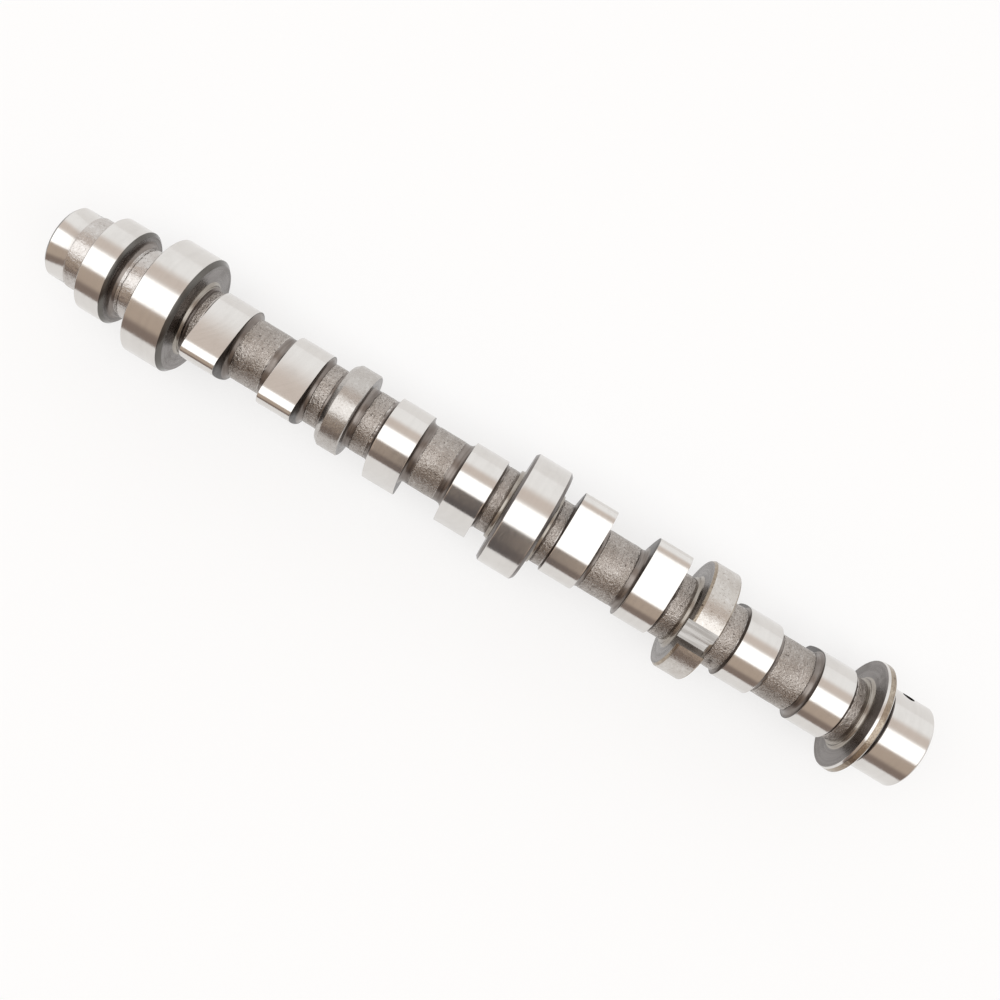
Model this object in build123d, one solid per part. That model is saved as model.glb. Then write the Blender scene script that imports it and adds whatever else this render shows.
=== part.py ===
from build123d import *
import os
from math import cos, radians, sin, sqrt, tan

# Overhead camshaft for a four-cylinder head, one cast-iron piece, in millimetres.
#
# The shaft runs along X, with its nose (drive end) towards -X. The origin is on the
# shaft's axis in the middle of the centre journal, and +Z points up.

# ---- driving dimensions -----------------------------------------------------

# Cam lobes. Half a lobe's outline is a chain of arcs that meet smoothly: a tight tip, a wider
# shoulder, a long flank, then the base circle. Arcs end at an angle from the nose's direction.
cylinder_pitch = 88.0
valve_pitch = 37.15
pairs_offset = -0.4
lobe_width = 16.0
base_radius = 17.0
lobe_lift = 8.85
lobe_tip_radius = 4.0
lobe_tip_angle = 22.0
lobe_shoulder_radius = 8.8
lobe_shoulder_angle = 50.0
first_lobe_angle = -34.0
firing_steps = (0, -90, 90, 180)

# Journals, largest at the nose so that the shaft slides into its tunnel.
front_journal_gap = 7.3
front_journal_length = 18.9
front_journal_radius = 27.65
front_journal_chamfer = 1.7
centre_journal_length = 18.4
centre_journal_radius = 26.95
centre_journal_chamfer = 1.3

# Nose seat, the collar behind it, and the neck from the collar to the front journal.
nose_length = 19.25
nose_seat_length = 9.8
nose_seat_radius = 16.6
nose_cast_radius = 17.0
nose_cast_step = 0.4
nose_chamfer = 1.0
nose_neck_length = 13.3
nose_neck_radius = 16.6
collar_width = 13.25
collar_radius = 22.35
collar_chamfer = 1.3

# Plain cast ring between the first and second pairs of lobes.
ring_offset = -1.4
ring_width = 11.7
ring_radius = 20.0
ring_round = 2.2
ring_round_depth = 1.75
ring_back_chamfer = 0.5

# Trigger ring between the third and fourth pairs, with one milled notch that faces up.
trigger_offset = -0.45
trigger_width = 13.1
trigger_radius = 26.5
trigger_front_chamfer = 1.3
trigger_front_depth = 0.75
trigger_back_chamfer = 0.5
notch_floor_z = 15.7
notch_wall_y = -0.9
notch_floor_width = 8.9
notch_wall_slope = 17.5
notch_overrun = 2.3

# Thrust flange and rear journal, with the relief groove between them.
flange_gap = 8.6
flange_width = 4.1
flange_radius = 26.8
flange_chamfer = 1.15
flange_chamfer_depth = 0.35
flange_back_chamfer = 0.4
relief_width = 4.2
relief_radius = 17.65
rear_journal_length = 20.4
rear_journal_radius = 19.55
rear_chamfer = 0.9

# Cast shaft between the parts above: thin cores beside lobes, thicker necks beside journals.
core_radius = 14.35
neck_radius = 15.3
hub_radius = 16.6
hub_width = 1.7
hub_step = 0.5
root_radius = 2.2
root_share = 0.8
disc_inset = 0.15
edge_break = 0.3

# Oil feed into the rear journal, and the centre holes that the shaft is ground on.
oil_hole_offset = 8.3
oil_hole_angle = 77.5
oil_hole_radius = 2.85
oil_hole_depth = 11.0
centre_drill_radius = 2.0
centre_drill_depth = 9.0
centre_tip_share = 0.6
centre_cone_radius = 4.2
centre_cone_depth = 3.8

# How far the cutters of the notch and the oil hole reach out of the metal.
cutter_reach = 4.0

# ---- places worked out from them --------------------------------------------

pair_reach = (valve_pitch + lobe_width) / 2
pair_count = len(firing_steps)
pair_xs = [
    cylinder_pitch * (number - (pair_count - 1) / 2) + pairs_offset for number in range(pair_count)
]
front_journal_x = pair_xs[0] - pair_reach - front_journal_gap - front_journal_length / 2
collar_x = front_journal_x - front_journal_length / 2 - nose_neck_length - collar_width / 2
nose_end_x = collar_x - collar_width / 2 - nose_length
ring_x = (pair_xs[0] + pair_xs[1]) / 2 + ring_offset
trigger_x = (pair_xs[2] + pair_xs[3]) / 2 + trigger_offset
flange_x = pair_xs[3] + pair_reach + flange_gap + flange_width / 2
rear_journal_start = flange_x + flange_width / 2 + relief_width
rear_end_x = rear_journal_start + rear_journal_length
oil_hole_x = rear_journal_start + oil_hole_offset


def rim(middle, width, radius, left_break=(0, 0), right_break=(0, 0)):
    """Rim of one raised section. Each break is a chamfer's length along the shaft and its depth."""
    left = middle - width / 2
    right = middle + width / 2
    points = [
        (left, radius - left_break[1]),
        (left + left_break[0], radius),
        (right - right_break[0], radius),
        (right, radius - right_break[1]),
    ]
    return sorted(set(points))


def lobe_positions():
    """Middle of every lobe along the shaft, with the direction of its nose."""
    for middle, step in zip(pair_xs, firing_steps):
        for side in (-1, 1):
            yield middle + side * valve_pitch / 2, first_lobe_angle + step


def square(size):
    return size, size


def shaft_sections():
    """Every raised section in order: its rim, the sides that have a hub, the neck behind it."""
    collar = rim(collar_x, collar_width, collar_radius, square(edge_break), square(collar_chamfer))
    front = rim(
        front_journal_x,
        front_journal_length,
        front_journal_radius,
        square(edge_break),
        square(front_journal_chamfer),
    )
    ring = rim(
        ring_x, ring_width, ring_radius, (ring_round, ring_round_depth), square(ring_back_chamfer)
    )
    centre = rim(
        0,
        centre_journal_length,
        centre_journal_radius,
        square(centre_journal_chamfer),
        square(centre_journal_chamfer),
    )
    trigger = rim(
        trigger_x,
        trigger_width,
        trigger_radius,
        (trigger_front_chamfer, trigger_front_depth),
        square(trigger_back_chamfer),
    )
    flange = rim(
        flange_x,
        flange_width,
        flange_radius,
        (flange_chamfer, flange_chamfer_depth),
        square(flange_back_chamfer),
    )
    discs = [rim(x, lobe_width, base_radius - disc_inset) for x, angle in lobe_positions()]
    return [
        (collar, "", nose_neck_radius),
        (front, "right", neck_radius),
        (discs[0], "", core_radius),
        (discs[1], "", core_radius),
        (ring, "", core_radius),
        (discs[2], "", core_radius),
        (discs[3], "", neck_radius),
        (centre, "both", neck_radius),
        (discs[4], "", core_radius),
        (discs[5], "", neck_radius),
        (trigger, "both", neck_radius),
        (discs[6], "", core_radius),
        (discs[7], "", neck_radius),
        (flange, "left", relief_radius),
    ]


def shoulder(corner_x, away, top, neck, has_hub):
    """Root of one face: a rounded corner, or a low hub that steps down to the neck."""
    seat = hub_radius if has_hub else neck
    root = min(root_radius, root_share * (top - seat))
    if has_hub:
        root = min(root, root_share * hub_width)
    points = [(corner_x, seat, root)]
    if has_hub:
        points.append((corner_x + away * hub_width, hub_radius, 0))
        points.append((corner_x + away * (hub_width + hub_step), neck, 0))
    return points


def shaft_profile():
    """Half section of the turned shape: its corner points, each with the radius it is rounded by."""
    seat_end = nose_end_x + nose_seat_length
    points = [
        (nose_end_x, 0, 0),
        (nose_end_x, nose_seat_radius - nose_chamfer, 0),
        (nose_end_x + nose_chamfer, nose_seat_radius, 0),
        (seat_end, nose_seat_radius, 0),
        (seat_end + nose_cast_step, nose_cast_radius, 0),
    ]
    neck = nose_cast_radius
    for section, hubs, next_neck in shaft_sections():
        left, left_top = section[0]
        right, right_top = section[-1]
        rising = shoulder(left, -1, left_top, neck, hubs in ("left", "both"))
        points.extend(reversed(rising))
        points.extend((x, radius, 0) for x, radius in section)
        points.extend(shoulder(right, 1, right_top, next_neck, hubs in ("right", "both")))
        neck = next_neck
    points += [
        (rear_journal_start, relief_radius, 0),
        (rear_journal_start, rear_journal_radius - edge_break, 0),
        (rear_journal_start + edge_break, rear_journal_radius, 0),
        (rear_end_x - rear_chamfer, rear_journal_radius, 0),
        (rear_end_x, rear_journal_radius - rear_chamfer, 0),
        (rear_end_x, 0, 0),
    ]
    return points


def rounded_outline(points):
    """Closed outline through the points, each square corner rounded by its own radius."""
    edges = []
    start = Vector(*points[0][:2])
    for before, here, after in zip(points, points[1:], points[2:] + points[:1]):
        corner = Vector(*here[:2])
        radius = here[2]
        if radius == 0:
            edges.append(Line(start, corner))
            start = corner
            continue
        arriving = (corner - Vector(*before[:2])).normalized()
        leaving = (Vector(*after[:2]) - corner).normalized()
        arc_start = corner - arriving * radius
        arc_end = corner + leaving * radius
        arc_middle = corner + (leaving - arriving) * radius * (1 - sqrt(0.5))
        edges.append(Line(start, arc_start))
        edges.append(ThreePointArc(arc_start, arc_middle, arc_end))
        start = arc_end
    edges.append(Line(start, Vector(*points[0][:2])))
    return edges


def turned_shaft():
    """The whole shaft without its lobe noses, with rounded roots at every shoulder."""
    return revolve(make_face(rounded_outline(shaft_profile())), Axis.X)


def heading(angle):
    """Unit vector at an angle from the nose's direction, in a lobe's own plane."""
    return Vector(cos(radians(angle)), sin(radians(angle)))


def half_lobe():
    """Corner and middle points of the shoulder and the flank, from the tip to the base circle."""
    tip_way, shoulder_way = heading(lobe_tip_angle), heading(lobe_shoulder_angle)
    tip_centre = Vector(base_radius + lobe_lift - lobe_tip_radius, 0)
    tip_end = tip_centre + tip_way * lobe_tip_radius
    shoulder_centre = tip_end - tip_way * lobe_shoulder_radius
    shoulder_end = shoulder_centre + shoulder_way * lobe_shoulder_radius
    # The flank leaves the shoulder without a corner, and touches the base circle from outside.
    flank_radius = (shoulder_end.dot(shoulder_end) - base_radius**2) / (
        2 * (shoulder_end.dot(shoulder_way) - base_radius)
    )
    flank_centre = shoulder_end - shoulder_way * flank_radius
    flank_way = -flank_centre.normalized()
    shoulder_middle = shoulder_centre + (tip_way + shoulder_way).normalized() * lobe_shoulder_radius
    flank_middle = flank_centre + (shoulder_way + flank_way).normalized() * flank_radius
    return [tip_end, shoulder_middle, shoulder_end, flank_middle, flank_way * base_radius]


def lobe(middle, angle):
    """One lobe. Its nose points at the given angle from +Z towards +Y."""
    upper = half_lobe()
    lower = [Vector(point.X, -point.Y) for point in upper]
    outline = [
        ThreePointArc(lower[0], (base_radius + lobe_lift, 0), upper[0]),
        ThreePointArc(*upper[0:3]),
        ThreePointArc(*upper[2:5]),
        ThreePointArc(upper[4], (-base_radius, 0), lower[4]),
        ThreePointArc(*reversed(lower[2:5])),
        ThreePointArc(*reversed(lower[0:3])),
    ]
    start = Plane.YZ.offset(middle - lobe_width / 2)
    return extrude(start * Rot(0, 0, 90 - angle) * make_face(outline), lobe_width)


def trigger_notch():
    """Cutter for the notch: a level floor, one upright wall and one leaning wall."""
    top = trigger_radius + cutter_reach
    lean = (top - notch_floor_z) * tan(radians(notch_wall_slope))
    far_y = notch_wall_y - notch_floor_width
    face = make_face(
        Polyline(
            (notch_wall_y, notch_floor_z),
            (notch_wall_y, top),
            (far_y - lean, top),
            (far_y, notch_floor_z),
            close=True,
        )
    )
    start = Plane.YZ.offset(trigger_x - trigger_width / 2)
    return extrude(start * face, trigger_width + notch_overrun)


def centre_hole(end_x, inward):
    """Centre hole in one end: a cone that opens outwards over a short drilled bore."""
    cone_end = end_x + inward * centre_cone_depth
    drill_end = end_x + inward * centre_drill_depth
    tip = drill_end + inward * centre_drill_radius * centre_tip_share
    section = make_face(
        Polyline(
            (end_x, 0),
            (end_x, centre_cone_radius),
            (cone_end, centre_drill_radius),
            (drill_end, centre_drill_radius),
            (tip, 0),
            close=True,
        )
    )
    return revolve(section, Axis.X)


def oil_hole():
    """Oil hole that opens high on the +Y side of the rear journal."""
    straight_up = Cylinder(
        oil_hole_radius, oil_hole_depth + cutter_reach, align=(Align.CENTER, Align.CENTER, Align.MIN)
    )
    bottom = rear_journal_radius - oil_hole_depth
    return Pos(oil_hole_x, 0, 0) * Rot(-oil_hole_angle, 0, 0) * Pos(0, 0, bottom) * straight_up


def camshaft():
    shape = turned_shaft()
    for middle, angle in lobe_positions():
        shape = shape + lobe(middle, angle)
    shape = shape - trigger_notch()
    shape = shape - centre_hole(nose_end_x, 1)
    shape = shape - centre_hole(rear_end_x, -1)
    return shape - oil_hole()


os.makedirs("parts", exist_ok=True)
export_step(camshaft(), "parts/camshaft.step")
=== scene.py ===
import math
import bpy
import numpy as np
from mathutils import Matrix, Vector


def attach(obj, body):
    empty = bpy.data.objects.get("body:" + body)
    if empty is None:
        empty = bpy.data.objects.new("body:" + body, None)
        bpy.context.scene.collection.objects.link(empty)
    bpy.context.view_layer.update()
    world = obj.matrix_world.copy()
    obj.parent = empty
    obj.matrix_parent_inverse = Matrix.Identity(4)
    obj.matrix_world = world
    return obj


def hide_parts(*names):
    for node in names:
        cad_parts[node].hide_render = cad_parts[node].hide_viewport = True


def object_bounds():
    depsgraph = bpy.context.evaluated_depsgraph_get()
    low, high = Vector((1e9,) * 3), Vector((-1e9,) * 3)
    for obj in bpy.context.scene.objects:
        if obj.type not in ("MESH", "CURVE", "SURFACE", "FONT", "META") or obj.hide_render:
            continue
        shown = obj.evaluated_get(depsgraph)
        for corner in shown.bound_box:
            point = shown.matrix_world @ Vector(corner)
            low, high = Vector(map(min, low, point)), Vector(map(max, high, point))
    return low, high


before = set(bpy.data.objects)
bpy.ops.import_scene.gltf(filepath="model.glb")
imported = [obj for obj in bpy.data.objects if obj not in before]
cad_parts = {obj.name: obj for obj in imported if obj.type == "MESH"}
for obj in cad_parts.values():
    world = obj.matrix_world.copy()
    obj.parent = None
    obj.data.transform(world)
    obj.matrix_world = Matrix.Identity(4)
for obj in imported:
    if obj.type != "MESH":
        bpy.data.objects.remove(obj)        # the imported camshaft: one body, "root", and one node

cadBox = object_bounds()
mm = 0.001


class Wire:
    # One socket in a node tree. Arithmetic on it adds Math nodes, so shader maths reads as Python.

    def __init__(self, tree, socket):
        self.tree = tree
        self.socket = socket

    def math(self, operation, *others):
        inputs = {0: self, **dict(enumerate(others, 1))}
        return node(self.tree, "ShaderNodeMath", {"operation": operation}, inputs)

    def __add__(self, other): return self.math("ADD", other)
    def __radd__(self, other): return self.math("ADD", other)
    def __sub__(self, other): return self.math("SUBTRACT", other)
    def __rsub__(self, other): return (self * -1.0) + other
    def __mul__(self, other): return self.math("MULTIPLY", other)
    def __rmul__(self, other): return self.math("MULTIPLY", other)
    def __pow__(self, other): return self.math("POWER", other)
    def __abs__(self): return self.math("ABSOLUTE")

    def clamp(self):
        return node(self.tree, "ShaderNodeClamp", {}, {"Value": self})

    def between(self, low, high):
        # 0 at low and 1 at high. With t the share of the way between them, it is t t (3 - 2 t).
        return node(self.tree, "ShaderNodeMapRange", {"interpolation_type": "SMOOTHSTEP"},
                    {"Value": self, "From Min": low, "From Max": high})


def node(tree, kind, settings, inputs, output=0):
    # Adds a node: its settings first, then the values or wires of its sockets.
    made = tree.nodes.new(kind)
    for name, value in settings.items():
        setattr(made, name, value)
    for key, value in inputs.items():
        if isinstance(value, Wire):
            tree.links.new(value.socket, made.inputs[key])
        elif isinstance(value, tuple) and made.inputs[key].type == "RGBA":
            made.inputs[key].default_value = (*value, 1.0)
        else:
            made.inputs[key].default_value = value
    return Wire(tree, made.outputs[output]) if len(made.outputs) else None


def mixColour(tree, factor, first, second):
    # The first colour where the factor is 0, the second where it is 1.
    return node(tree, "ShaderNodeMix", {"data_type": "RGBA"}, {0: factor, 6: first, 7: second}, 2)


def axes(vector):
    # The x, y and z of a vector, as three wires.
    x = node(vector.tree, "ShaderNodeSeparateXYZ", {}, {0: vector})
    return [Wire(x.tree, socket) for socket in x.socket.node.outputs]


def newMaterial(name):
    material = bpy.data.materials.new(name)
    material.use_nodes = True
    material.node_tree.nodes.clear()
    return material, material.node_tree


def closeMaterial(tree, colour, roughness, height, bumpDepth):
    # Bare metal, with a bump made from the height. The bump's depth is in metres.
    bump = node(tree, "ShaderNodeBump", {}, {"Strength": 1.0, "Distance": bumpDepth, "Height": height})
    shader = node(tree, "ShaderNodeBsdfPrincipled", {}, {
        "Base Color": colour, "Roughness": roughness, "Metallic": 1.0, "Normal": bump})
    node(tree, "ShaderNodeOutputMaterial", {}, {"Surface": shader})


def stretched(tree, place, stretch):
    return node(tree, "ShaderNodeVectorMath", {"operation": "MULTIPLY"}, {0: place, 1: stretch})


def noise(tree, place, scale, detail, roughness=0.5):
    return node(tree, "ShaderNodeTexNoise", {}, {
        "Vector": place, "Scale": scale, "Detail": detail, "Roughness": roughness})


profileSlope = 1.6        # how fast the length along the profile grows with the distance from the axis


def shaftPlace(tree):
    # Object coordinates, and a length that runs on along the shaft's profile: x plus profileSlope
    # times the distance from the axis, so that it changes on rims, faces and chamfers alike.
    place = node(tree, "ShaderNodeTexCoord", {}, {}, "Object")
    x, y, z = axes(place)
    along = x + ((y * y + z * z) ** 0.5) * profileSlope
    return place, along


# Noise of the machined finishes: scales per metre, the noise values between which each one fades in,
# what each adds to the roughness and what is taken off again for their mean, how the place is
# stretched for lines along and round the shaft, and the bump's depth in metres.
turnedNoise = {
    "cloudScale": 110.0, "spotScale": 900.0,
    "ringFade": (0.35, 0.7), "cloudFade": (0.45, 0.75), "spotFade": (0.66, 0.76),
    "cloudRoughness": 0.08, "ringRoughness": 0.06, "meanRoughness": 0.07,
    "alongStretch": (0.06, 1.0, 1.0), "roundStretch": (0.0, 0.04, 0.04), "bumpDepth": 0.00006,
}

# The same for the cast finishes. The sand is fine and dark, the grain about twice as coarse and pale.
castNoise = {
    "cloudScale": 130.0, "streakScale": 900.0,
    "sandStretch": (1.0, 0.9, 0.9), "grainStretch": (1.0, 0.7, 0.7), "cloudStretch": (1.0, 0.6, 0.6),
    "streakStretch": (1.0, 0.07, 0.07),
    "grainFade": (0.48, 0.68), "cloudFade": (0.42, 0.70), "streakFade": (0.50, 0.72),
    "sandFade": (0.55, 0.68), "speckFade": (0.66, 0.72),
    "sandRoughness": 0.3, "streakRoughness": 0.1,
    "sandHeight": 0.55, "speckHeight": -0.5, "streakHeight": 0.1, "bumpDepth": 0.00026,
}


def turnedCoat(tree, look):
    # Turned, ground or milled metal: colour, roughness and height. Lines and rings are noise that
    # changes fast along the profile and slowly round the shaft, or the other way where it is milled.
    # Clouds and spots of noise stain it.
    place, along = shaftPlace(tree)
    if look.get("linesRun") == "along":
        around = stretched(tree, place, turnedNoise["alongStretch"])
    else:
        around = stretched(tree, place, turnedNoise["roundStretch"])
        around = node(tree, "ShaderNodeVectorMath", {"operation": "ADD"},
                      {0: around, 1: node(tree, "ShaderNodeCombineXYZ", {}, {0: along})})
    even = stretched(tree, place, (1.0, 1.0, 1.0))
    lines = noise(tree, around, look["lineScale"], 2.0)
    rings = noise(tree, around, look["ringScale"], 2.0)
    cloud = noise(tree, even, turnedNoise["cloudScale"], 4.0, 0.6)
    spot = noise(tree, even, turnedNoise["spotScale"], 3.0, 0.6)
    ringed = rings.between(*turnedNoise["ringFade"]) * look["ringShare"]
    clouded = cloud.between(*turnedNoise["cloudFade"]) * look["stainShare"]
    spotted = spot.between(*turnedNoise["spotFade"]) * look["spotShare"]
    colour = mixColour(tree, ringed, look["colour"], look["ringColour"])
    colour = mixColour(tree, clouded, colour, look["stain"])
    colour = mixColour(tree, spotted, colour, look["stain"])
    roughness = cloud * turnedNoise["cloudRoughness"] + rings * turnedNoise["ringRoughness"] \
        + (look["roughness"] - turnedNoise["meanRoughness"])
    height = lines * look["lineDepth"] + rings * look["ringDepth"] + spot * look["spotDepth"]
    return colour, roughness, height


def castCoat(tree, look):
    # Sandy cast skin: colour, roughness and height. Each noise fades its own colour in over the last:
    # pale grain, stained clouds and streaks, then dark sand and specks.
    place = shaftPlace(tree)[0]
    sand = noise(tree, stretched(tree, place, castNoise["sandStretch"]), look["sandScale"], 3.0, 0.6)
    grain = noise(tree, stretched(tree, place, castNoise["grainStretch"]), look["grainScale"], 3.0, 0.6)
    cloud = noise(tree, stretched(tree, place, castNoise["cloudStretch"]), castNoise["cloudScale"], 3.0, 0.6)
    streaked = stretched(tree, place, castNoise["streakStretch"])
    streak = noise(tree, streaked, castNoise["streakScale"], 3.0, 0.6)
    speck = noise(tree, stretched(tree, place, (1.0, 1.0, 1.0)), look["speckScale"], 2.0, 0.5)
    colour = look["colour"]
    for layer, fade, share, tint in ((grain, "grainFade", "paleShare", "pale"),
                                     (cloud, "cloudFade", "stainShare", "stain"),
                                     (streak, "streakFade", "streakShare", "stain"),
                                     (sand, "sandFade", "sandShare", "speck"),
                                     (speck, "speckFade", "speckShare", "speck")):
        colour = mixColour(tree, layer.between(*castNoise[fade]) * look[share], colour, look[tint])
    roughness = (sand - 0.5) * castNoise["sandRoughness"] + (streak - 0.5) * castNoise["streakRoughness"] \
        + look["roughness"]
    height = (sand * castNoise["sandHeight"] + grain + speck * castNoise["speckHeight"]) * look["sandDepth"] \
        + streak * castNoise["streakHeight"]
    return colour, roughness, height


groundLook = {
    "colour": (0.70, 0.68, 0.655), "ringColour": (0.62, 0.595, 0.57), "stain": (0.60, 0.575, 0.55),
    "ringShare": 0.22, "stainShare": 0.35, "spotShare": 0.15, "roughness": 0.15, "lineScale": 4800.0,
    "ringScale": 650.0, "lineDepth": 0.22, "ringDepth": 0.12, "spotDepth": 0.06,
}
facedLook = {
    "colour": (0.245, 0.227, 0.217), "ringColour": (0.155, 0.14, 0.132), "stain": (0.105, 0.09, 0.08),
    "ringShare": 0.7, "stainShare": 0.6, "spotShare": 0.5, "roughness": 0.27, "lineScale": 2300.0,
    "ringScale": 520.0, "lineDepth": 0.7, "ringDepth": 0.35, "spotDepth": 0.3,
}
chamferLook = {
    "colour": (0.15, 0.142, 0.131), "ringColour": (0.11, 0.103, 0.095), "stain": (0.09, 0.08, 0.07),
    "ringShare": 0.5, "stainShare": 0.4, "spotShare": 0.3, "roughness": 0.22, "lineScale": 2600.0,
    "ringScale": 900.0, "lineDepth": 0.4, "ringDepth": 0.2, "spotDepth": 0.1,
}
hubLook = {
    "colour": (0.39, 0.358, 0.318), "ringColour": (0.28, 0.25, 0.218), "stain": (0.24, 0.20, 0.17),
    "ringShare": 0.6, "stainShare": 0.5, "spotShare": 0.5, "roughness": 0.25, "lineScale": 2300.0,
    "ringScale": 900.0, "lineDepth": 0.5, "ringDepth": 0.4, "spotDepth": 0.3,
}
# Lobe faces: near black turned iron. The darkness is painted shade, standing in for the shade and dark
# reflections on the lobes' sides.
lobeFaceLook = {
    "colour": (0.105, 0.096, 0.092), "ringColour": (0.07, 0.062, 0.058), "stain": (0.05, 0.043, 0.04),
    "ringShare": 0.6, "stainShare": 0.5, "spotShare": 0.4, "roughness": 0.33, "lineScale": 2300.0,
    "ringScale": 620.0, "lineDepth": 0.5, "ringDepth": 0.3, "spotDepth": 0.3,
}
milledLook = {
    "colour": (0.40, 0.385, 0.37), "ringColour": (0.22, 0.205, 0.19), "stain": (0.34, 0.32, 0.30),
    "ringShare": 0.8, "stainShare": 0.4, "spotShare": 0.3, "roughness": 0.26, "linesRun": "along",
    "lineScale": 2600.0, "ringScale": 800.0, "lineDepth": 0.3, "ringDepth": 0.5, "spotDepth": 0.2,
}


def turnedIron(name, look):
    # A machined finish of the iron.
    material, tree = newMaterial(name)
    colour, roughness, height = turnedCoat(tree, look)
    closeMaterial(tree, colour, roughness, height, turnedNoise["bumpDepth"])
    return material


skinLook = {
    "colour": (0.405, 0.368, 0.338), "pale": (0.60, 0.568, 0.535), "speck": (0.10, 0.08, 0.068),
    "stain": (0.235, 0.20, 0.17), "paleShare": 0.65, "stainShare": 0.5, "streakShare": 0.35,
    "sandShare": 0.9, "speckShare": 0.7, "sandScale": 2100.0, "grainScale": 1100.0, "speckScale": 620.0,
    "roughness": 0.245, "sandDepth": 1.5,
}
triggerLook = {
    "colour": (0.59, 0.56, 0.525), "pale": (0.70, 0.68, 0.655), "speck": (0.30, 0.26, 0.23),
    "stain": (0.48, 0.44, 0.40), "paleShare": 0.6, "stainShare": 0.4, "streakShare": 0.2,
    "sandShare": 0.45, "speckShare": 0.8, "sandScale": 1400.0, "grainScale": 560.0, "speckScale": 800.0,
    "roughness": 0.24, "sandDepth": 0.35,
}
ringLook = {
    "colour": (0.505, 0.48, 0.455), "pale": (0.63, 0.61, 0.59), "speck": (0.34, 0.31, 0.285),
    "stain": (0.52, 0.49, 0.46), "paleShare": 0.5, "stainShare": 0.4, "streakShare": 0.25,
    "sandShare": 0.4, "speckShare": 0.7, "sandScale": 1400.0, "grainScale": 620.0, "speckScale": 700.0,
    "roughness": 0.27, "sandDepth": 0.28,
}
flangeLook = {
    "colour": (0.37, 0.31, 0.245), "pale": (0.54, 0.485, 0.40), "speck": (0.10, 0.075, 0.06),
    "stain": (0.25, 0.20, 0.155), "paleShare": 0.6, "stainShare": 0.5, "streakShare": 0.4,
    "sandShare": 0.6, "speckShare": 0.9, "sandScale": 1500.0, "grainScale": 620.0, "speckScale": 560.0,
    "roughness": 0.21, "sandDepth": 0.5,
}
noseSkinLook = {
    "colour": (0.56, 0.53, 0.505), "pale": (0.66, 0.64, 0.62), "speck": (0.32, 0.29, 0.27),
    "stain": (0.50, 0.465, 0.435), "paleShare": 0.6, "stainShare": 0.5, "streakShare": 0.2,
    "sandShare": 0.6, "speckShare": 0.8, "sandScale": 1500.0, "grainScale": 700.0, "speckScale": 640.0,
    "roughness": 0.25, "sandDepth": 0.5,
}


def castIron(name, look):
    # A cast finish of the iron.
    material, tree = newMaterial(name)
    colour, roughness, height = castCoat(tree, look)
    closeMaterial(tree, colour, roughness, height, castNoise["bumpDepth"])
    return material


bareLook = {
    "colour": (0.27, 0.24, 0.22), "ringColour": (0.16, 0.135, 0.12), "stain": (0.14, 0.118, 0.104),
    "ringShare": 0.8, "stainShare": 0.5, "spotShare": 0.5, "roughness": 0.29, "lineScale": 2300.0,
    "ringScale": 900.0, "lineDepth": 0.5, "ringDepth": 0.8, "spotDepth": 0.4,
    # The last colours are a painted highlight along the skin's step and painted shade in the pits.
    "edge": (0.66, 0.63, 0.60), "pit": (0.07, 0.055, 0.045),
    "edgeShare": 0.7, "bareHeight": 0.25,
}


def neckIron():
    # The unground shaft: cast skin where the cast attribute is 1, plain turning where it is 0, with a painted
    # highlight along the line where one steps down to the other, and painted shade in the pits.
    look = bareLook
    material, tree = newMaterial("neckIron")
    cast = node(tree, "ShaderNodeAttribute", {"attribute_name": "cast"}, {}, "Fac")
    pit = node(tree, "ShaderNodeAttribute", {"attribute_name": "pit"}, {}, "Fac")
    skinColour, skinRoughness, skinHeight = castCoat(tree, skinLook)
    bareColour, bareRoughness, bareHeight = turnedCoat(tree, look)
    colour = mixColour(tree, cast, bareColour, skinColour)
    # Painted highlight: a pale line half way down the step from skin to turning.
    step = (cast * (1.0 - cast) * 4.0).between(0.3, 1.0)        # 1 half way down the step
    colour = mixColour(tree, step * look["edgeShare"], colour, look["edge"])
    # Painted shade: the pits are darkened towards a near black colour.
    colour = mixColour(tree, pit.clamp(), colour, look["pit"])
    roughness = cast * (skinRoughness - bareRoughness) + bareRoughness
    height = cast * skinHeight + (1.0 - cast) * bareHeight * look["bareHeight"]
    closeMaterial(tree, colour, roughness, height, castNoise["bumpDepth"])
    return material


finishes = {
    "ground": 0, "neck": 1, "faced": 2, "chamfer": 3, "hub": 4, "root": 1, "milled": 5, "trigger": 6,
    "ring": 7, "flange": 8, "noseSkin": 9, "lobeFace": 10,
}


def allFinishes():
    # Materials in the order of the finishes' numbers.
    return [turnedIron("groundIron", groundLook), neckIron(), turnedIron("facedIron", facedLook),
            turnedIron("chamferIron", chamferLook), turnedIron("hubIron", hubLook),
            turnedIron("milledIron", milledLook), castIron("triggerIron", triggerLook),
            castIron("ringIron", ringLook), castIron("flangeIron", flangeLook),
            castIron("noseSkinIron", noseSkinLook), turnedIron("lobeFaceIron", lobeFaceLook)]


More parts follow.
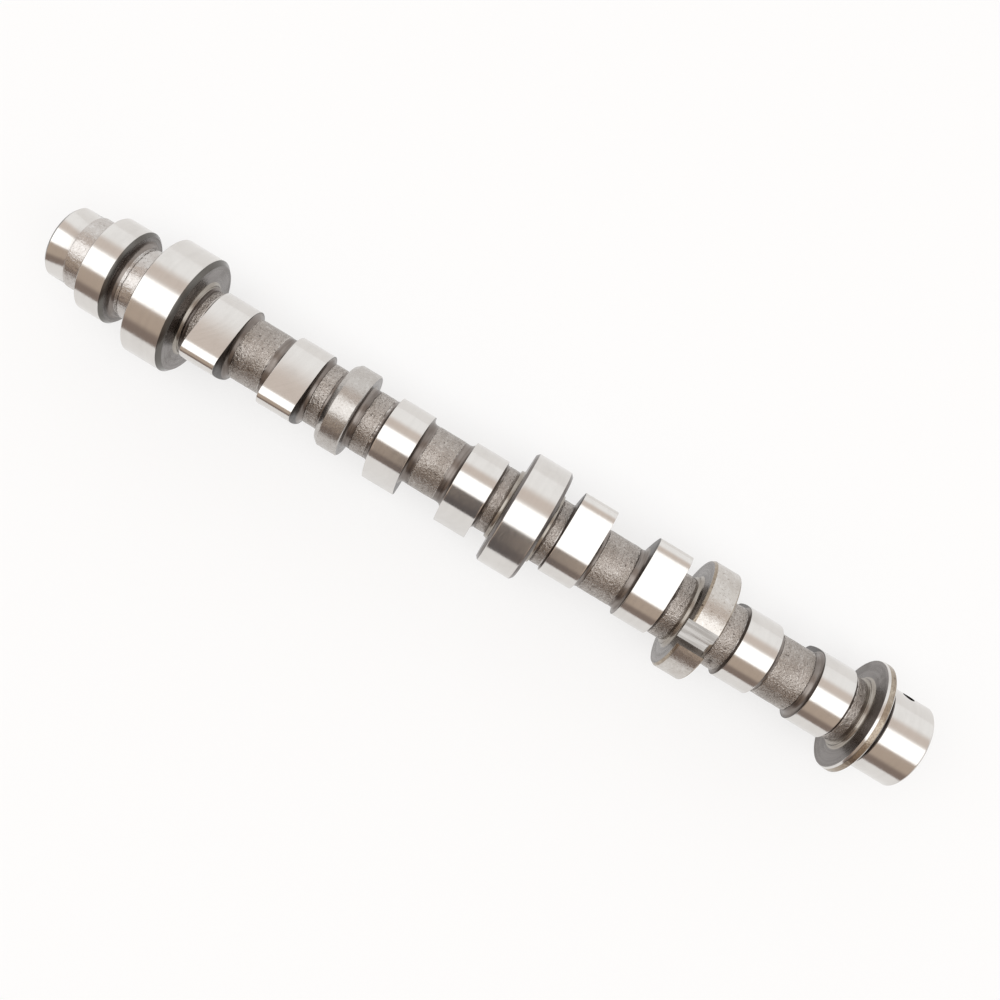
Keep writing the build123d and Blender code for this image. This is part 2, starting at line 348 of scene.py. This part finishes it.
# Lengths along the shaft and radii in millimetres, with the origin in the centre journal, and angles
# in degrees.
shaft = {
    "cylinderPitch": 88.0, "valvePitch": 37.15, "pairsOffset": -0.4, "lobeWidth": 16.0,
    "baseRadius": 17.0, "lobeLift": 8.85,
    "tipRadius": 4.0, "tipAngle": 22.0, "shoulderRadius": 8.8, "shoulderAngle": 50.0,
    "firstLobeAngle": -34.0, "firingSteps": (0, -90, 90, 180),
    "frontGap": 7.3, "frontLength": 18.9, "frontRadius": 27.60, "frontChamfer": 1.7,
    "centreLength": 18.4, "centreRadius": 26.95, "centreChamfer": 1.3,
    "noseLength": 19.25, "noseSeatLength": 9.8, "noseSeatRadius": 16.6, "noseCastRadius": 17.0,
    "noseChamfer": 1.0, "noseNeckLength": 13.3, "noseNeckRadius": 16.6,
    "collarWidth": 13.25, "collarRadius": 22.35, "collarChamfer": 1.3,
    "ringOffset": -1.4, "ringWidth": 11.7, "ringRadius": 20.0, "ringRound": 2.2, "ringRoundDepth": 1.75,
    "ringBackChamfer": 0.5,
    "triggerOffset": -0.45, "triggerWidth": 13.1, "triggerRadius": 26.5,
    "triggerFrontChamfer": 1.3, "triggerFrontDepth": 0.75, "triggerBackChamfer": 0.5,
    "flangeGap": 8.6, "flangeWidth": 4.1, "flangeRadius": 26.8, "flangeChamfer": 1.15,
    "flangeChamferDepth": 0.35, "flangeBackChamfer": 0.4,
    "reliefWidth": 4.2, "reliefRadius": 17.65, "rearLength": 20.4, "rearRadius": 19.55, "rearChamfer": 0.9,
    "coreRadius": 14.35, "neckRadius": 15.3, "hubRadius": 16.6, "hubWidth": 1.7, "hubStep": 0.5,
    "rootRadius": 2.2, "edge": 0.15,
    "coneRadius": 4.2, "coneDepth": 3.8, "drillRadius": 2.0, "drillDepth": 9.0,
    "drillPoint": 0.6, "sharpAngle": 32,
    "columns": 184, "crowding": 0.6, "castStep": 0.9, "castProud": 0.14, "castGrain": 0.026, "seed": 7,
}

# Waves of the cast skin: wavelength, weight and how many. A whole number of them goes round the shaft,
# worked out at the mean radius. The skin's border is steepened about its middle, which the shift
# keeps in place, and made to wander.
castWaves = {
    "kinds": ((9.0, 0.8, 14), (3.6, 1.0, 26), (1.9, 0.7, 40)), "meanRadius": 15.0,
    "borderSharpness": 1.6, "borderShift": 0.3, "borderWander": 0.25,
    "wanderStretch": 0.2, "wanderStart": 300.0,
}

# Pits in the cast skin: place along the shaft, angle from straight up towards -Y, half width, depth.
pits = ((99.6, 50, 0.9, 0.5), (99.9, 57, 0.6, 0.3), (12.6, -25, 0.5, 0.3), (14.9, -8, 0.45, 0.3),
        (160.6, 12, 0.45, 0.3), (-88.0, 8, 0.5, 0.25), (-190.5, 2, 0.6, 0.3), (-215.0, 30, 0.6, 0.3))


def lobeRadius(angle, size):
    # Distance from the axis to a lobe's outline at each angle from its nose. Half the outline is a
    # chain of arcs that meet smoothly: tip, shoulder, flank and base circle. A ray from the axis at
    # angle a meets an arc of centre c and radius r at c.u + sqrt(r2 - c.c + (c.u)2), u = (cos a, sin a).
    # The flank's radius is (p.p - b2) / 2(p.n - b), from the shoulder's end p, its normal n and the
    # base radius b, so that it touches the base circle.
    base = size["baseRadius"]
    tipWay, shoulderWay = (np.array([math.cos(way), math.sin(way)])
                           for way in np.radians([size["tipAngle"], size["shoulderAngle"]]))
    tip = np.array([base + size["lobeLift"] - size["tipRadius"], 0.0])
    tipEnd = tip + tipWay * size["tipRadius"]
    shoulder = tipEnd - tipWay * size["shoulderRadius"]
    shoulderEnd = shoulder + shoulderWay * size["shoulderRadius"]
    flankRadius = (shoulderEnd @ shoulderEnd - base ** 2) / (2 * (shoulderEnd @ shoulderWay - base))
    flank = shoulderEnd - shoulderWay * flankRadius
    turn = np.abs((angle + np.pi) % (2 * np.pi) - np.pi)
    ray = np.stack([np.cos(turn), np.sin(turn)], -1)
    outline = np.full(len(angle), base)
    for centre, radius, end in ((flank, flankRadius, -flank), (shoulder, size["shoulderRadius"], shoulderEnd),
                                (tip, size["tipRadius"], tipEnd)):
        across = ray @ centre
        reach = across + np.sqrt(np.maximum(radius ** 2 - centre @ centre + across ** 2, 0))
        outline = np.where(turn < math.atan2(end[1], end[0]), reach, outline)
    return outline


def columnAngles(size):
    # Angles round the shaft from +Z towards +Y, crowded together at the four nose directions: each
    # even angle less the crowding times sin(4 (angle - first nose)) / 4.
    even = np.linspace(0, 2 * np.pi, size["columns"], endpoint=False)
    first = np.radians(size["firstLobeAngle"])
    return even - size["crowding"] * np.sin(4 * (even - first)) / 4


# Distances between stations, in millimetres: the closest two, a softened edge, how far beside an edge
# the shading stays flat, the shortest chamfer with stations of its own, and small lips and roots.
# lobeSoft is a share of a lobe's edge, and rootShare of the height that a root may use. Cast skin has
# four stations about each border.
steps = {
    "closest": 0.03, "soft": 0.12, "flat": 0.35, "shortChamfer": 0.4, "lobeSoft": 0.3, "lobeFlat": 0.5,
    "lip": 0.1, "skinLift": 0.05, "rootShare": 0.8, "reliefRoot": 0.6, "sharpLip": 0.02,
    "castStart": 0.4, "castEnd": 0.2, "castBorder": (-0.4, -0.13, 0.13, 0.4), "castFade": 0.6,
}


class Outline:
    # Stations along the shaft, in order. Each has its place, its radius, the finish of the strip that
    # leads to it, its lobe (or -1), how far it is inside that lobe's outline, and its cast skin's share.

    def __init__(self):
        self.rows = []

    def to(self, x, radius, finish, lobe=-1, inset=0.0, cast=0.0):
        # A station is left out where it would lie on the last one.
        last = self.rows[-1] if self.rows else (x - 1, radius, 0, lobe)
        if lobe != last[3] or math.hypot(x - last[0], radius - last[1]) > steps["closest"]:
            self.rows.append((x, radius, finishes[finish], lobe, inset, cast))

    def roundedTo(self, centreX, centreR, radius, fromDegrees, toDegrees, finish, first):
        # An arc about a centre: centre + radius times (cos, sin) of each angle. The strip that leads
        # to it has the first finish.
        for number, angle in enumerate(np.radians(np.linspace(fromDegrees, toDegrees, 4))):
            self.to(centreX + radius * math.cos(angle), centreR + radius * math.sin(angle),
                    finish if number else first)

    def castRun(self, start, end, radius, castFrom, castTo, size, skin="neck"):
        # A neck between two roots. Its cast skin has a share of 1 between castFrom and castTo, and
        # ramps to 0 over each border.
        spots = [start, end]
        spots += list(np.arange(start + steps["castStart"], end - steps["castEnd"], size["castStep"]))
        for border in (castFrom, castTo):
            spots += [border + step for step in steps["castBorder"]]
        for x in sorted({round(spot, 3) for spot in spots if start <= spot <= end}):
            inside = np.clip((x - castFrom) / steps["castFade"] + 0.5, 0, 1)
            inside *= np.clip((castTo - x) / steps["castFade"] + 0.5, 0, 1)
            self.to(x, radius, skin, cast=float(inside))


def shaftPlaces(size):
    # Places along the shaft, each worked out from the lobes' pitch, and the angle of each lobe's nose.
    pairs = [size["cylinderPitch"] * (number - 1.5) + size["pairsOffset"] for number in range(4)]
    reach = (size["valvePitch"] + size["lobeWidth"]) / 2
    front = pairs[0] - reach - size["frontGap"] - size["frontLength"] / 2
    collar = front - size["frontLength"] / 2 - size["noseNeckLength"] - size["collarWidth"] / 2
    flange = pairs[3] + reach + size["flangeGap"] + size["flangeWidth"] / 2
    rearStart = flange + size["flangeWidth"] / 2 + size["reliefWidth"]
    return {
        "lobes": [middle + side * size["valvePitch"] / 2 for middle in pairs for side in (-1, 1)],
        "lobeAngles": [math.radians(size["firstLobeAngle"] + step)
                       for step in size["firingSteps"] for _ in (0, 1)],
        "front": front, "collar": collar, "noseEnd": collar - size["collarWidth"] / 2 - size["noseLength"],
        "ring": (pairs[0] + pairs[1]) / 2 + size["ringOffset"],
        "trigger": (pairs[2] + pairs[3]) / 2 + size["triggerOffset"],
        "flange": flange, "rearStart": rearStart, "rearEnd": rearStart + size["rearLength"],
    }


def section(outline, left, right, radius, finish, leftBreak, rightBreak, breakFinish=None):
    # One raised section's rim, with a chamfer (length, depth) and softened edges at each side.
    # A close pair of stations keeps the shading flat up to each edge.
    e, close, short = steps["soft"], steps["flat"], steps["shortChamfer"]
    breakFinish = breakFinish or finish
    outline.to(left, radius - leftBreak[1] - close, "faced")
    outline.to(left, radius - leftBreak[1] - e, "faced")
    outline.to(left + e, radius - leftBreak[1], breakFinish)
    if leftBreak[0] > short:
        outline.to(left + leftBreak[0] - e, radius - e * leftBreak[1] / leftBreak[0], breakFinish)
    outline.to(left + leftBreak[0] + e, radius, finish)
    outline.to(left + leftBreak[0] + close, radius, finish)
    outline.to((left + right) / 2, radius, finish)
    outline.to(right - rightBreak[0] - close, radius, finish)
    outline.to(right - rightBreak[0] - e, radius, finish)
    if rightBreak[0] > short:
        outline.to(right - rightBreak[0] + e, radius - e * rightBreak[1] / rightBreak[0], breakFinish)
    outline.to(right - e, radius - rightBreak[1], breakFinish)
    outline.to(right, radius - rightBreak[1] - e, breakFinish)
    outline.to(right, radius - rightBreak[1] - close, "faced")


def lobeSection(outline, number, left, right, size):
    # One lobe's faces and rim. Its face is flat from the root to the lobe's own outline, and is darkened with
    # painted shade.
    e, flat, base = size["edge"], steps["lobeFlat"], size["baseRadius"]
    soft = e * steps["lobeSoft"]
    outline.to(left, base, "lobeFace", number, e)
    outline.to(left + soft, base, "ground", number, soft)
    for place in (left + e, left + flat, (left + right) / 2, right - flat, right - e):
        outline.to(place, base, "ground", number)
    outline.to(right - soft, base, "ground", number, soft)
    outline.to(right, base, "ground", number, e)


def shaftOutline(size, at):
    # The whole profile from the nose's centre hole to the rear one.
    outline = Outline()
    lip, share = steps["lip"], steps["rootShare"]
    seat = size["noseSeatRadius"]
    nose = at["noseEnd"]
    outline.to(nose + size["drillDepth"], size["drillRadius"], "faced")
    outline.to(nose + size["coneDepth"], size["drillRadius"], "faced")
    outline.to(nose, size["coneRadius"], "faced")
    outline.to(nose, seat - size["noseChamfer"] - lip, "faced")
    outline.to(nose + lip, seat - size["noseChamfer"], "chamfer")
    outline.to(nose + size["noseChamfer"], seat, "chamfer")
    outline.to(nose + size["noseChamfer"] + steps["flat"], seat, "ground")
    seatEnd = nose + size["noseSeatLength"]
    outline.to(seatEnd - lip, seat, "ground")
    outline.to(seatEnd, seat + steps["skinLift"], "noseSkin")

    lobes, half = at["lobes"], size["lobeWidth"] / 2
    core, neck = size["coreRadius"], size["neckRadius"]
    collarL, collarR = at["collar"] - size["collarWidth"] / 2, at["collar"] + size["collarWidth"] / 2
    frontL, frontR = at["front"] - size["frontLength"] / 2, at["front"] + size["frontLength"] / 2
    ringL, ringR = at["ring"] - size["ringWidth"] / 2, at["ring"] + size["ringWidth"] / 2
    centreL, centreR = -size["centreLength"] / 2, size["centreLength"] / 2
    triggerL, triggerR = at["trigger"] - size["triggerWidth"] / 2, at["trigger"] + size["triggerWidth"] / 2
    flangeL, flangeR = at["flange"] - size["flangeWidth"] / 2, at["flange"] + size["flangeWidth"] / 2

    smallBreak = (0.2, 0.2)
    lobeTop = size["baseRadius"] - core
    lobeNeckTop = size["baseRadius"] - neck

    def run(start, end, radius, hubs, castFrom, castTo, startTop=0.0, endTop=0.0, skin="neck"):
        # Root, hub, neck, hub and root between two faces. Hubs are named by s (start) and e (end). The
        # cast skin starts castFrom after the first face and ends castTo before the last one. A root
        # takes rootShare of the height it may use (startTop, endTop), up to the root radius.
        rootStart = min(size["rootRadius"], share * startTop)
        rootEnd = min(size["rootRadius"], share * endTop)
        hubRoot = share * size["hubWidth"]
        here = start + rootStart
        stop = end - rootEnd
        if "s" in hubs:
            outline.roundedTo(start + hubRoot, size["hubRadius"] + hubRoot, hubRoot, 180, 270, "hub", "faced")
            outline.to(start + size["hubWidth"] - lip, size["hubRadius"], "hub")
            outline.to(start + size["hubWidth"] + lip, size["hubRadius"] - steps["soft"], "hub")
            here = start + size["hubWidth"] + size["hubStep"]
        else:
            # Where the face before this root is a lobe's, it takes the same painted shade as the lobe faces.
            outline.roundedTo(here, radius + rootStart, rootStart, 180, 270, "root",
                              "lobeFace" if startTop in (lobeTop, lobeNeckTop) else "faced")
        if "e" in hubs:
            stop = end - size["hubWidth"] - size["hubStep"]
        outline.castRun(here, stop, radius, start + castFrom, end - castTo, size, skin)
        if "e" in hubs:
            outline.to(end - size["hubWidth"] - lip, size["hubRadius"] - steps["soft"], "hub")
            outline.to(end - size["hubWidth"] + lip, size["hubRadius"], "hub")
            outline.roundedTo(end - hubRoot, size["hubRadius"] + hubRoot, hubRoot, 270, 360, "hub", "hub")
        else:
            outline.roundedTo(stop, radius + rootEnd, rootEnd, 270, 360, "root", "root")

    run(seatEnd + lip, collarL, size["noseCastRadius"], "", -1.0, 0.2, 0.02, 3.0, "noseSkin")
    section(outline, collarL, collarR, size["collarRadius"], "ground", smallBreak,
            (size["collarChamfer"],) * 2, "chamfer")
    run(collarR, frontL, size["noseNeckRadius"], "", 3.6, 0.4, 3.0, 3.0, "noseSkin")
    section(outline, frontL, frontR, size["frontRadius"], "ground", smallBreak,
            (size["frontChamfer"],) * 2, "chamfer")
    run(frontR, lobes[0] - half, neck, "s", 3.2, 0.3, 3.0, lobeNeckTop)
    lobeSection(outline, 0, lobes[0] - half, lobes[0] + half, size)
    run(lobes[0] + half, lobes[1] - half, core, "", 2.1, 4.6, lobeTop, lobeTop)
    lobeSection(outline, 1, lobes[1] - half, lobes[1] + half, size)
    run(lobes[1] + half, ringL, core, "", 2.0, 1.9, lobeTop, 1.5)
    section(outline, ringL, ringR, size["ringRadius"], "ring", (size["ringRound"], size["ringRoundDepth"]),
            (size["ringBackChamfer"],) * 2)
    run(ringR, lobes[2] - half, core, "", 3.4, 2.2, 1.5, lobeTop)
    lobeSection(outline, 2, lobes[2] - half, lobes[2] + half, size)
    run(lobes[2] + half, lobes[3] - half, core, "", 3.9, 4.6, lobeTop, lobeTop)
    lobeSection(outline, 3, lobes[3] - half, lobes[3] + half, size)
    run(lobes[3] + half, centreL, neck, "e", 0.8, 2.6, lobeNeckTop, 3.0)
    section(outline, centreL, centreR, size["centreRadius"], "ground",
            (size["centreChamfer"],) * 2, (size["centreChamfer"],) * 2, "faced")
    run(centreR, lobes[4] - half, neck, "s", 2.6, 0.8, 3.0, lobeNeckTop)
    lobeSection(outline, 4, lobes[4] - half, lobes[4] + half, size)
    run(lobes[4] + half, lobes[5] - half, core, "", 2.2, 3.6, lobeTop, lobeTop)
    lobeSection(outline, 5, lobes[5] - half, lobes[5] + half, size)
    run(lobes[5] + half, triggerL, neck, "e", 0.8, 2.6, lobeNeckTop, 3.0)
    section(outline, triggerL, triggerR, size["triggerRadius"], "trigger",
            (size["triggerFrontChamfer"], size["triggerFrontDepth"]),
            (size["triggerBackChamfer"],) * 2, "flange")
    run(triggerR, lobes[6] - half, neck, "s", 2.6, 0.8, 3.0, lobeNeckTop)
    lobeSection(outline, 6, lobes[6] - half, lobes[6] + half, size)
    run(lobes[6] + half, lobes[7] - half, core, "", 2.2, 3.2, lobeTop, lobeTop)
    lobeSection(outline, 7, lobes[7] - half, lobes[7] + half, size)
    run(lobes[7] + half, flangeL, neck, "e", 0.8, 2.8, lobeNeckTop, 3.0)
    section(outline, flangeL, flangeR, size["flangeRadius"], "flange",
            (size["flangeChamfer"], size["flangeChamferDepth"]), (size["flangeBackChamfer"],) * 2, "ground")
    relief = size["reliefRadius"]
    root, sharp = steps["reliefRoot"], steps["sharpLip"]
    outline.roundedTo(flangeR + root, relief + root, root, 180, 270, "faced", "faced")
    outline.to(at["rearStart"] - sharp, relief, "faced")
    outline.to(at["rearStart"], relief + sharp, "faced")
    section(outline, at["rearStart"], at["rearEnd"], size["rearRadius"], "ground", smallBreak,
            (size["rearChamfer"],) * 2)
    rear = at["rearEnd"]
    outline.to(rear, size["coneRadius"], "faced")
    outline.to(rear - size["coneDepth"], size["drillRadius"], "faced")
    outline.to(rear - size["drillDepth"], size["drillRadius"], "faced")
    return np.array(outline.rows)


def castSkin(x, angle, size):
    # Height of the sand-cast skin at each station and column: a sum of waves of random direction
    # along the shaft and round it, at three wavelengths, scaled to about one.
    random = np.random.default_rng(size["seed"])
    height = np.zeros((len(x), len(angle)))
    for wavelength, weight, count in castWaves["kinds"]:
        for _ in range(count):
            heading, phase = random.uniform(0, 2 * np.pi, 2)
            around = round(castWaves["meanRadius"] * 2 * np.pi / wavelength * math.sin(heading))
            along = 2 * np.pi / wavelength * math.cos(heading)
            height += weight / math.sqrt(count) * np.sin(x[:, None] * along + angle[None, :] * around + phase)
    return height


def camshaftSurface(size, at):
    # Every station is a ring of columns: its radius is the profile's, or its lobe's outline, plus
    # the cast skin, less the pits, each depth times exp(-(distance / half width) squared). Rings are
    # joined by quads, and a fan closes each end at the axis.
    rows = shaftOutline(size, at)
    x, radius, finish, lobe, inset, cast = rows.T
    angle = columnAngles(size)
    ring = np.repeat(radius[:, None], len(angle), axis=1)
    for number, noseAngle in enumerate(at["lobeAngles"]):
        mine = lobe == number
        ring[mine] = lobeRadius(angle - noseAngle, size)[None, :] - inset[mine, None]
    skin = castSkin(x, angle, size)
    wander = castSkin(x * castWaves["wanderStretch"] + castWaves["wanderStart"], angle, size)
    border = (4 * cast * (1 - cast))[:, None]        # 1 half way across the skin's border
    weight = np.clip(cast[:, None] * castWaves["borderSharpness"] - castWaves["borderShift"]
                     + castWaves["borderWander"] * wander * border, 0, 1)
    ring += weight * (size["castProud"] + size["castGrain"] * skin)
    pitted = np.zeros_like(ring)
    for place, turn, width, depth in pits:
        sideways = ((angle + math.radians(turn) + np.pi) % (2 * np.pi) - np.pi)[None, :] * ring
        dent = np.exp(-((x[:, None] - place) ** 2 + sideways ** 2) / width ** 2) * (lobe < 0)[:, None]
        ring -= depth * dent
        pitted += dent
    rings, columns = ring.shape
    points = np.empty((rings * columns + 2, 3))
    points[:-2, 0] = np.repeat(x, columns)
    points[:-2, 1] = (ring * np.sin(angle)[None, :]).ravel()
    points[:-2, 2] = (ring * np.cos(angle)[None, :]).ravel()
    points[-2] = (x[0] + size["drillRadius"] * size["drillPoint"], 0, 0)
    points[-1] = (x[-1] - size["drillRadius"] * size["drillPoint"], 0, 0)
    station, column = np.meshgrid(np.arange(rings - 1), np.arange(columns), indexing="ij")
    following = (column + 1) % columns
    here, ahead = station * columns, (station + 1) * columns
    quads = np.stack([here + column, here + following, ahead + following, ahead + column], -1).reshape(-1, 4)
    fan = np.arange(columns)
    startFan = np.stack([fan * 0 + rings * columns, (fan + 1) % columns, fan], -1)
    last = (rings - 1) * columns
    endFan = np.stack([fan * 0 + rings * columns + 1, last + fan, last + (fan + 1) % columns], -1)
    stripFinish = np.repeat(finish[1:], columns).astype(int)
    # The pits' weights, which the neck's material darkens with painted shade.
    values = {"cast": np.append(weight.ravel(), [0.0, 0.0]), "pit": np.append(pitted.ravel(), [0.0, 0.0])}
    return points * mm, quads, np.concatenate([startFan, endFan]), stripFinish, values


def meshFromGrid(name, points, quads, triangles, quadFinish, values):
    # The mesh, with a finish on each face and each named value on its points.
    mesh = bpy.data.meshes.new(name)
    faces = quads.tolist() + triangles.tolist()
    mesh.from_pydata(points.tolist(), [], faces)
    index = np.concatenate([quadFinish, np.full(len(triangles), finishes["faced"])]).astype(np.int32)
    mesh.polygons.foreach_set("material_index", index)
    for key, value in values.items():
        mesh.attributes.new(key, "FLOAT", "POINT").data.foreach_set("value", value.astype(np.float32))
    mesh.update()
    return mesh


notch = {
    "floor": 15.7, "wallY": -0.9, "floorWidth": 8.9, "wallSlope": 17.5, "overrun": 2.3, "top": 32.0,
    "stepY": -6.2, "stepWidth": 0.4, "stepDepth": 0.15,
}


def notchCutter(at, size):
    # Prism of the milled notch: its outline across the shaft, carried along it. The floor has a
    # low step where the cutter's two passes meet.
    left = at["trigger"] - size["triggerWidth"] / 2
    right = at["trigger"] + size["triggerWidth"] / 2 + notch["overrun"]
    floor, farY = notch["floor"], notch["wallY"] - notch["floorWidth"]
    lean = (notch["top"] - floor) * math.tan(math.radians(notch["wallSlope"]))
    low = floor - notch["stepDepth"]
    outline = [(notch["wallY"], floor), (notch["wallY"], notch["top"]), (farY - lean, notch["top"]),
               (farY, low), (notch["stepY"] - notch["stepWidth"], low), (notch["stepY"], floor)]
    count = len(outline)
    points = np.array([(x, y, z) for x in (left, right) for y, z in outline]) * mm
    sides = [((k + 1) % count, (k + 1) % count + count, k + count, k) for k in range(count)]
    faces = sides + [tuple(range(count))[::-1], tuple(range(count, 2 * count))]
    return plainCutter("notchCutter", points, faces)


oilHole = {
    "offset": 8.3, "radius": 2.85, "depth": 11.0, "angle": 77.5, "sides": 48, "overrun": 3.0,
}


def oilHoleCutter(at, size):
    # Cylinder of the oil hole: a circle about Z, lifted out through the journal, then leant by the
    # hole's angle from +Z towards +Y.
    turn = np.linspace(0, 2 * np.pi, oilHole["sides"], endpoint=False)
    lean = math.radians(oilHole["angle"])
    across = oilHole["radius"] * np.sin(turn)
    x = at["rearStart"] + oilHole["offset"] + oilHole["radius"] * np.cos(turn)
    rings = []
    for height in (size["rearRadius"] - oilHole["depth"], size["rearRadius"] + oilHole["overrun"]):
        rings.append(np.stack([x, across * math.cos(lean) + height * math.sin(lean),
                               height * math.cos(lean) - across * math.sin(lean)], -1))
    count = len(turn)
    sides = [(k, (k + 1) % count, (k + 1) % count + count, k + count) for k in range(count)]
    faces = sides + [tuple(range(count))[::-1], tuple(range(count, 2 * count))]
    return plainCutter("oilHoleCutter", np.concatenate(rings) * mm, faces)


def plainCutter(name, points, faces):
    # A closed solid from its corners and faces.
    mesh = bpy.data.meshes.new(name)
    mesh.from_pydata(points.tolist(), [], faces)
    mesh.update()
    cutter = bpy.data.objects.new(name, mesh)
    bpy.context.scene.collection.objects.link(cutter)
    return cutter


def cutAway(piece, cutter, materialIndex):
    # Takes the cutter out of the piece, with the cut faces in the given finish.
    for material in piece.data.materials:
        cutter.data.materials.append(material)
    index = np.full(len(cutter.data.polygons), materialIndex, np.int32)
    cutter.data.polygons.foreach_set("material_index", index)
    modifier = piece.modifiers.new("cut", "BOOLEAN")
    modifier.operation = "DIFFERENCE"
    modifier.solver = "EXACT"
    modifier.object = cutter
    bpy.context.view_layer.update()
    evaluated = piece.evaluated_get(bpy.context.evaluated_depsgraph_get())
    cut = bpy.data.meshes.new_from_object(evaluated)
    piece.modifiers.clear()
    old = piece.data
    piece.data = cut
    bpy.data.meshes.remove(old)
    bpy.data.objects.remove(cutter)


def makeCamshaft():
    at = shaftPlaces(shaft)
    mesh = meshFromGrid("camshaftCasting", *camshaftSurface(shaft, at))
    for finish in allFinishes():
        mesh.materials.append(finish)
    piece = bpy.data.objects.new("camshaftCasting", mesh)
    bpy.context.scene.collection.objects.link(piece)
    cutAway(piece, notchCutter(at, shaft), finishes["milled"])
    cutAway(piece, oilHoleCutter(at, shaft), finishes["faced"])
    piece.data.shade_smooth()
    piece.data.set_sharp_from_angle(angle=math.radians(shaft["sharpAngle"]))
    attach(piece, "root")
    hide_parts("camshaft")
    print("camshaft:", len(piece.data.polygons), "faces,",
          sum(len(face.vertices) - 2 for face in piece.data.polygons), "triangles")


studio = {"floorColour": (0.94, 0.94, 0.94), "floorLift": 0.66, "floorGlow": 1.0, "floorSize": 3.0}


def makeFloor():
    # White paper: a flat square under the part. The camera and the metal see it lifted towards
    # white, at a strength of 1, and it keeps the part's shadow.
    half = studio["floorSize"] / 2
    low = cadBox[0][2]
    mesh = bpy.data.meshes.new("floor")
    corners = [(-half, -half, low), (half, -half, low), (half, half, low), (-half, half, low)]
    mesh.from_pydata(corners, [], [(0, 1, 2, 3)])
    material, tree = newMaterial("floorPaper")
    cameraSees = node(tree, "ShaderNodeLightPath", {}, {}, "Is Camera Ray")
    metalSees = node(tree, "ShaderNodeLightPath", {}, {}, "Is Glossy Ray")
    paper = node(tree, "ShaderNodeBsdfDiffuse", {}, {"Color": studio["floorColour"]})
    glow = node(tree, "ShaderNodeEmission", {}, {"Color": (1.0, 1.0, 1.0), "Strength": studio["floorGlow"]})
    seen = cameraSees.math("MAXIMUM", metalSees) * studio["floorLift"]
    lifted = node(tree, "ShaderNodeMixShader", {}, {0: seen, 1: paper, 2: glow})
    node(tree, "ShaderNodeOutputMaterial", {}, {"Surface": lifted})
    mesh.materials.append(material)
    floor = bpy.data.objects.new("floor", mesh)
    bpy.context.scene.collection.objects.link(floor)


# Plain panels around the shaft in a pale room. Angles are in degrees about the shaft from straight
# up (0) towards -Y. Each panel has one colour and one softness of its edges, and lies over those
# before it.
room = {"colour": (1.1, 1.1, 1.1), "endColour": (0.45, 0.43, 0.42), "endFrom": 0.70, "endTo": 0.97}
panels = {
    "warmWall": {"from": -48, "to": -18, "soft": 18, "colour": (0.78, 0.69, 0.63)},
    "softBox": {"from": -18, "to": 28, "soft": 4, "colour": (1.7, 1.7, 1.7)},
    "brownWall": {"from": 28, "to": 100, "soft": 5, "colour": (0.55, 0.45, 0.37)},
    "darkWall": {"from": 66, "to": 100, "soft": 14, "colour": (0.28, 0.22, 0.19)},
}
cameraStand = {
    "from": 28, "to": 97, "soft": 4, "reach": 0.08, "fade": 0.02, "colour": (0.12, 0.11, 0.11),
}


def band(turn, panel):
    # 1 between the panel's two angles and 0 outside, with a soft ramp over each edge.
    start, end, soft = (panel[key] / 360 for key in ("from", "to", "soft"))
    return turn.between(start - soft / 2, start + soft / 2) * turn.between(end + soft / 2, end - soft / 2)


def makeSurroundings():
    # The room, then each panel by its angle about the shaft, which is the arc tangent of -y over z.
    # The stand shows only near the middle, and the room darkens towards the shaft's two ends.
    world = bpy.data.worlds.new("studio")
    bpy.context.scene.world = world
    world.use_nodes = True
    tree = world.node_tree
    tree.nodes.clear()
    x, y, z = axes(node(tree, "ShaderNodeTexCoord", {}, {}, "Generated"))        # the ray's direction
    turn = (y * -1.0).math("ARCTAN2", z) * (0.5 / math.pi)                       # in whole turns
    colour = room["colour"]
    for panel in panels.values():
        colour = mixColour(tree, band(turn, panel), colour, panel["colour"])
    reach, fade = cameraStand["reach"], cameraStand["fade"]
    near = abs(x).between(reach + fade, reach - fade)
    colour = mixColour(tree, band(turn, cameraStand) * near, colour, cameraStand["colour"])
    colour = mixColour(tree, abs(x).between(room["endFrom"], room["endTo"]), colour, room["endColour"])
    cameraSees = node(tree, "ShaderNodeLightPath", {}, {}, "Is Camera Ray")
    colour = mixColour(tree, cameraSees, colour, (1.0, 1.0, 1.0))
    background = node(tree, "ShaderNodeBackground", {}, {"Color": colour, "Strength": 1.0})
    node(tree, "ShaderNodeOutputWorld", {}, {"Surface": background})


# The camera looks straight down but for a small lean towards the rear end, in degrees. Its place is
# in millimetres.
camera = {
    "lens": 37.35, "sensor": 36.0, "place": (-17.93, 0.577, 452.5), "lean": 0.65, "roll": 31.127,
    "clipStart": 0.01,
}


def makeCamera():
    data = bpy.data.cameras.new("camera")
    data.sensor_width = camera["sensor"]
    data.lens = camera["lens"]
    data.clip_start = camera["clipStart"]
    eye = bpy.data.objects.new("camera", data)
    eye.location = [value * mm for value in camera["place"]]
    lean = Matrix.Rotation(-math.radians(camera["lean"]), 3, "Y")
    eye.rotation_euler = (lean @ Matrix.Rotation(math.radians(camera["roll"]), 3, "Z")).to_euler()
    bpy.context.scene.collection.objects.link(eye)
    bpy.context.scene.camera = eye


makeCamera()
makeSurroundings()
makeFloor()
print("camera, light and floor are in place")
makeCamshaft()
bpy.context.scene.view_settings.view_transform = "Standard"
